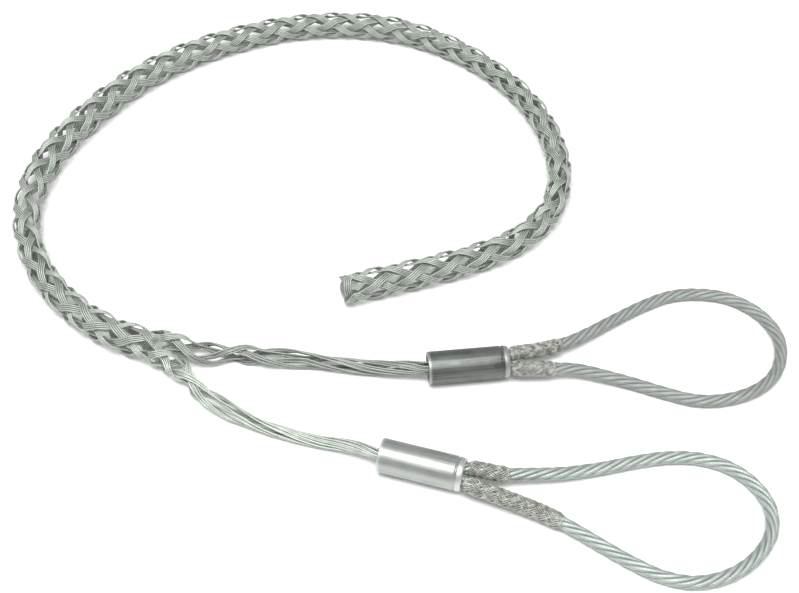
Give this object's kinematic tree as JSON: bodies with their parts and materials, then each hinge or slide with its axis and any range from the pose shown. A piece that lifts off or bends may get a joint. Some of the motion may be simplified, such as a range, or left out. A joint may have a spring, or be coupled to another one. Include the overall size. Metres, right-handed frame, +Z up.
{
  "type": "cable pulling grip",
  "caption": "Woven wire tube, open at one end, that tightens on a cable pushed into it; its legs end in ferrules with wire rope eyes for the pulling line.",
  "frame": {"origin": "middle of the whole grip's underside, on the ground that it lies on", "axes": "+Z up from the ground; +X from the woven tube's open end along the tube's first straight stretch and towards the eyes; +Y towards the tube's big bend"},
  "size_m": [0.2934, 0.3482, 0.0138],
  "materials": {
    "mesh_strand": "dull galvanised strand, pale grey with dark gaps between its fine wires",
    "eye_rope": "dull galvanised wire rope, pale grey, dark between the strands",
    "sleeve_wire": "fine braided wire, dull grey with a brown cast",
    "ferrule_dark": "satin pressed metal, darkened, with light marks along it",
    "ferrule_light": "satin pressed aluminium with fine marks along it"
  },
  "bodies": {
    "root": {"mesh_wire_1": "mesh_strand", "mesh_wire_2": "mesh_strand", "mesh_wire_3": "mesh_strand", "mesh_wire_4": "mesh_strand", "ferrule_a": "ferrule_dark", "ferrule_b": "ferrule_light", "eye_rope_a": "eye_rope", "eye_rope_b": "eye_rope", "sleeve_a_upper": "sleeve_wire", "sleeve_a_lower": "sleeve_wire", "sleeve_b_upper": "sleeve_wire", "sleeve_b_lower": "sleeve_wire"}
  },
  "joints": []
}
